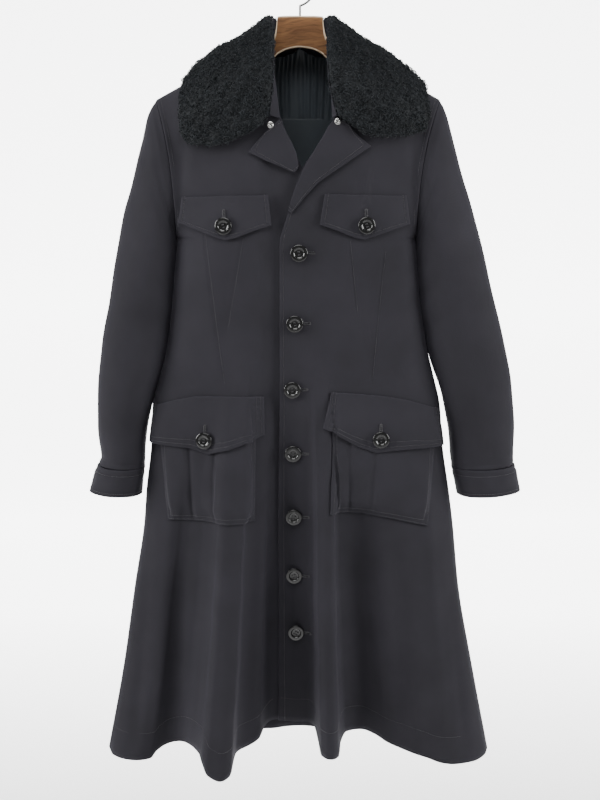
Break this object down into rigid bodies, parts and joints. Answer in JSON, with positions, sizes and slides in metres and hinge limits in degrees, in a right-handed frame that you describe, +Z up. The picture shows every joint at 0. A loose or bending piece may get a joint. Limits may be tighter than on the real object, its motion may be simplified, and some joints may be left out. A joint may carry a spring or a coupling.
{
  "type": "military coat on a hanger",
  "caption": "Long flared black canvas coat with fur collar, lapels, flap and bellows pockets and a buttoned front, hung on a wooden hanger by its hook.",
  "frame": {"origin": "seat of the hanger's hook, where a rail carries it", "axes": "+Z up, -Y towards the front of the coat, +X towards the wearer's left"},
  "size_m": [0.695, 0.218, 1.2635],
  "materials": {
    "black_canvas": "matt twill",
    "black_fur": "curly pile",
    "satin_lining": "satin",
    "dark_buttons": "polished",
    "nickel_snaps": "satin metal",
    "stained_wood": "lacquered, worn",
    "hook_steel": "drawn wire"
  },
  "bodies": {
    "root": {"back_panel": "black_canvas", "front_left": "black_canvas", "front_right": "black_canvas", "collar_stand": "black_canvas", "sleeve_left": "black_canvas", "cuff_left": "black_canvas", "lapel_left": "black_canvas", "chest_flap_left": "black_canvas", "hip_flap_left": "black_canvas", "hip_pocket_left": "black_canvas", "sleeve_right": "black_canvas", "cuff_right": "black_canvas", "lapel_right": "black_canvas", "chest_flap_right": "black_canvas", "hip_flap_right": "black_canvas", "hip_pocket_right": "black_canvas", "fur_collar": "black_fur", "back_facing": "satin_lining", "back_lining": "satin_lining", "front_button_1": "dark_buttons", "front_button_2": "dark_buttons", "front_button_3": "dark_buttons", "front_button_4": "dark_buttons", "front_button_5": "dark_buttons", "front_button_6": "dark_buttons", "front_button_7": "dark_buttons", "chest_button_left": "dark_buttons", "chest_button_right": "dark_buttons", "hip_button_left": "dark_buttons", "hip_button_right": "dark_buttons", "collar_snap_left": "nickel_snaps", "collar_snap_right": "nickel_snaps", "hanger_body": "stained_wood", "hanger_hook": "hook_steel"}
  },
  "joints": []
}
